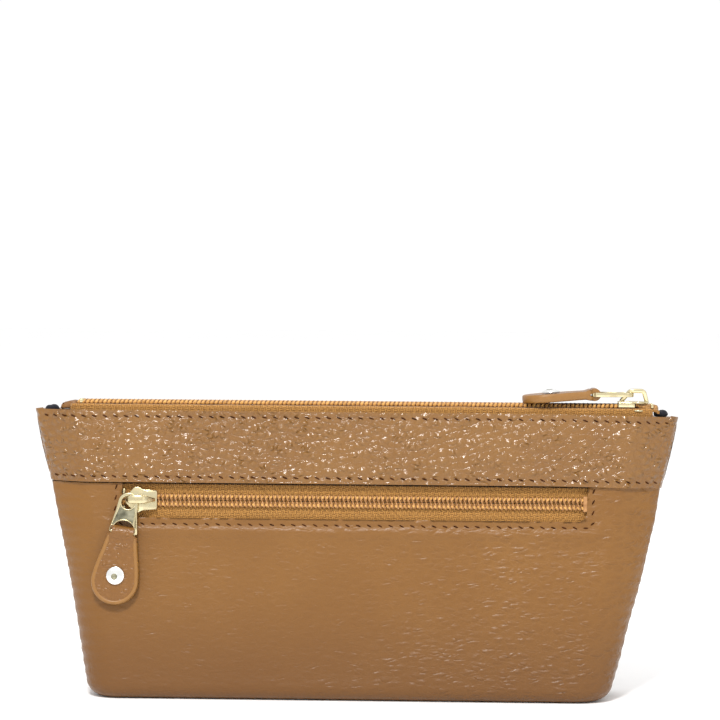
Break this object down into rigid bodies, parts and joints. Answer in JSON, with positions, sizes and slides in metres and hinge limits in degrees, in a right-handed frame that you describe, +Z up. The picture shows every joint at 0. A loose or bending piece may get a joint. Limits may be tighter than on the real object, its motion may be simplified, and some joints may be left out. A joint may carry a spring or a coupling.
{
  "type": "zip pouch",
  "caption": "Wedge-shaped leather pouch that stands on a boxed base, with a zipped mouth, a zipped front pocket and leather pull tabs.",
  "frame": {"origin": "centre of the base's underside", "axes": "+X along the mouth towards the closed end of the top zip, the front faces -Y, +Z up"},
  "size_m": [0.202, 0.034, 0.0978],
  "materials": {
    "body_leather": "pebbled full-grain leather, satin",
    "tab_leather": "smooth cut leather with painted edges",
    "lining_cloth": "dark woven lining",
    "zip_tape": "woven zip tape",
    "zip_coil": "nylon coil, slight sheen",
    "zip_metal": "pale plated, polished",
    "rivet_nickel": "nickel plated",
    "board_card": "plain"
  },
  "bodies": {
    "pouch": {"front_panel": "body_leather", "back_panel": "body_leather", "base_panel": "body_leather", "base_board": "board_card", "lining_front": "lining_cloth", "lining_back": "lining_cloth", "lining_base": "lining_cloth", "pocket_lining": "lining_cloth", "top_end_tab": "tab_leather", "top_tape_tail": "zip_tape", "top_top_stops": "zip_metal", "top_bottom_stop": "zip_metal", "pocket_top_stops": "zip_metal", "pocket_bottom_stop": "zip_metal"},
    "mouth_front": {"front_yoke": "body_leather", "facing_front": "lining_cloth", "top_tape_front": "zip_tape", "top_coil_front": "zip_coil"},
    "mouth_back": {"back_yoke": "body_leather", "facing_back": "lining_cloth", "top_tape_back": "zip_tape", "top_coil_back": "zip_coil"},
    "top_slider": {"top_slider_body": "zip_metal", "top_slider_bail": "zip_metal"},
    "top_pull": {"top_pull": "zip_metal"},
    "top_tab": {"top_pull_tab": "tab_leather", "top_rivet_cap": "rivet_nickel", "top_rivet_stud": "rivet_nickel"},
    "pocket_lip_upper": {"pocket_tape_upper": "zip_tape", "pocket_coil_upper": "zip_coil"},
    "pocket_lip_lower": {"pocket_tape_lower": "zip_tape", "pocket_coil_lower": "zip_coil"},
    "pocket_slider": {"pocket_slider_body": "zip_metal", "pocket_slider_bail": "zip_metal"},
    "pocket_pull": {"pocket_pull": "zip_metal"},
    "pocket_tab": {"pocket_pull_tab": "tab_leather", "pocket_rivet_cap": "rivet_nickel", "pocket_rivet_stud": "rivet_nickel"}
  },
  "joints": [
    {"name": "top_slide", "type": "slide", "parent": "pouch", "child": "top_slider", "axis": [-1, 0, 0], "range_m": [0, 0.168]},
    {"name": "top_pull_flip", "type": "hinge", "parent": "top_slider", "child": "top_pull", "pos_m": [0.0857, 0, 0.096], "axis": [0, 1, 0], "range_deg": [0, 88]},
    {"name": "top_tab_lift", "type": "hinge", "parent": "top_pull", "child": "top_tab", "pos_m": [0.0752, 0, 0.096], "axis": [0, 1, 0], "range_deg": [0, 95]},
    {"name": "mouth_front_open", "type": "hinge", "parent": "pouch", "child": "mouth_front", "pos_m": [0, -0.01013, 0.0675], "axis": [1, 0, 0], "range_deg": [0, 30], "deforming": ["top_tape_front", "top_coil_front"]},
    {"name": "mouth_back_open", "type": "hinge", "parent": "pouch", "child": "mouth_back", "pos_m": [0, 0.01013, 0.0675], "axis": [-1, 0, 0], "range_deg": [0, 30], "deforming": ["top_tape_back", "top_coil_back"]},
    {"name": "pocket_slide", "type": "slide", "parent": "pouch", "child": "pocket_slider", "axis": [1, 0, 0], "range_m": [0, 0.133]},
    {"name": "pocket_pull_swing", "type": "hinge", "parent": "pocket_slider", "child": "pocket_pull", "pos_m": [-0.07068, -0.01185, 0.06223], "axis": [0, -0.9933, 0.1159], "range_deg": [-70, 45]},
    {"name": "pocket_tab_lift", "type": "hinge", "parent": "pocket_pull", "child": "pocket_tab", "pos_m": [-0.07229, -0.01306, 0.05192], "axis": [-0.9882, 0.0177, 0.152], "range_deg": [0, 95]},
    {"name": "pocket_lip_upper_fold", "type": "hinge", "parent": "pouch", "child": "pocket_lip_upper", "pos_m": [0, -0.00757, 0.06702], "axis": [1, 0, 0], "range_deg": [0, 35], "deforming": ["pocket_tape_upper", "pocket_coil_upper"]},
    {"name": "pocket_lip_lower_fold", "type": "hinge", "parent": "pouch", "child": "pocket_lip_lower", "pos_m": [0, -0.00882, 0.05629], "axis": [1, 0, 0], "range_deg": [0, 50], "deforming": ["pocket_tape_lower", "pocket_coil_lower"]}
  ],
  "couplings": [
    {"joint": "mouth_front_open", "follows": "top_slide", "rad_per_m": 3.11},
    {"joint": "mouth_back_open", "follows": "top_slide", "rad_per_m": 3.11},
    {"joint": "pocket_lip_upper_fold", "follows": "pocket_slide", "rad_per_m": 4.58},
    {"joint": "pocket_lip_lower_fold", "follows": "pocket_slide", "rad_per_m": 6.55}
  ]
}
